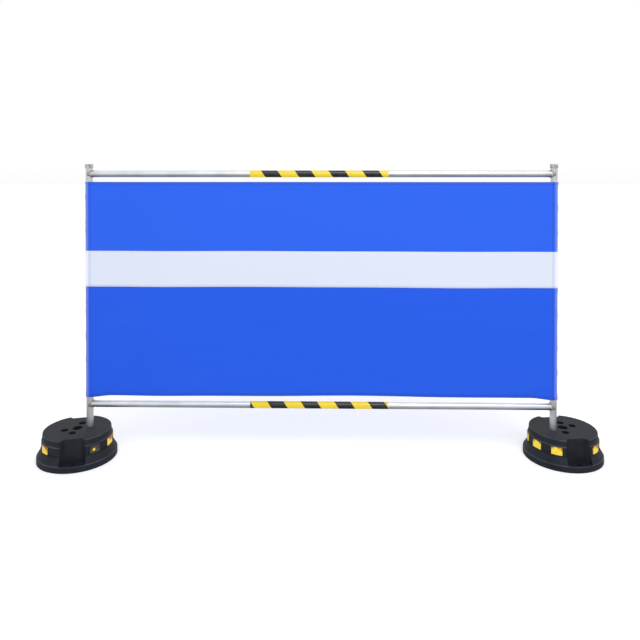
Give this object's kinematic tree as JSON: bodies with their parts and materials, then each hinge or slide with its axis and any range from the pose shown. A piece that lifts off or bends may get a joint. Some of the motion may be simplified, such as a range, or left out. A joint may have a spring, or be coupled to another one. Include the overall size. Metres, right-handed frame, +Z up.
{
  "type": "pedestrian safety fence",
  "caption": "Freestanding safety fence: welded pipe frame, mesh banner between the posts, hazard tape on the rails, moulded bases with reflectors.",
  "frame": {"origin": "on the floor under the middle of the fence", "axes": "+X along the fence to the right seen from its front, +Y from the front to the back, +Z up"},
  "size_m": [2.1167, 0.3247, 1.1],
  "materials": {
    "galvanised_pipe": "satin",
    "weld_bead": "matte",
    "cap_plastic": "matte",
    "hazard_tape": "gloss",
    "banner_mesh": "satin",
    "hook_and_loop_tape": "matte",
    "base_rubber": "matte",
    "reflector": "gloss"
  },
  "bodies": {
    "frame": {"left_post": "galvanised_pipe", "right_post": "galvanised_pipe", "top_rail": "galvanised_pipe", "bottom_rail": "galvanised_pipe", "top_left_weld": "weld_bead", "top_right_weld": "weld_bead", "bottom_left_weld": "weld_bead", "bottom_right_weld": "weld_bead", "left_post_cap": "cap_plastic", "right_post_cap": "cap_plastic", "top_hazard_tape": "hazard_tape", "bottom_hazard_tape": "hazard_tape", "banner": "banner_mesh", "banner_band": "banner_mesh", "left_sleeve_fastening": "hook_and_loop_tape", "right_sleeve_fastening": "hook_and_loop_tape"},
    "left_foot_plug": {"left_foot_plug": "cap_plastic"},
    "right_foot_plug": {"right_foot_plug": "cap_plastic"},
    "left_base": {"left_base": "base_rubber", "left_reflectors": "reflector"},
    "right_base": {"right_base": "base_rubber", "right_reflectors": "reflector"}
  },
  "joints": [
    {"name": "left_base_turn", "type": "hinge", "parent": "frame", "child": "left_foot_plug", "pos_m": [-0.8748, 0, 0], "axis": [0, 0, 1], "continuous": true},
    {"name": "left_base_lift_off", "type": "slide", "parent": "left_foot_plug", "child": "left_base", "axis": [0, 0, -1], "range_m": [0, 0.12]},
    {"name": "right_base_turn", "type": "hinge", "parent": "frame", "child": "right_foot_plug", "pos_m": [0.8748, 0, 0], "axis": [0, 0, 1], "continuous": true},
    {"name": "right_base_lift_off", "type": "slide", "parent": "right_foot_plug", "child": "right_base", "axis": [0, 0, -1], "range_m": [0, 0.12]}
  ]
}
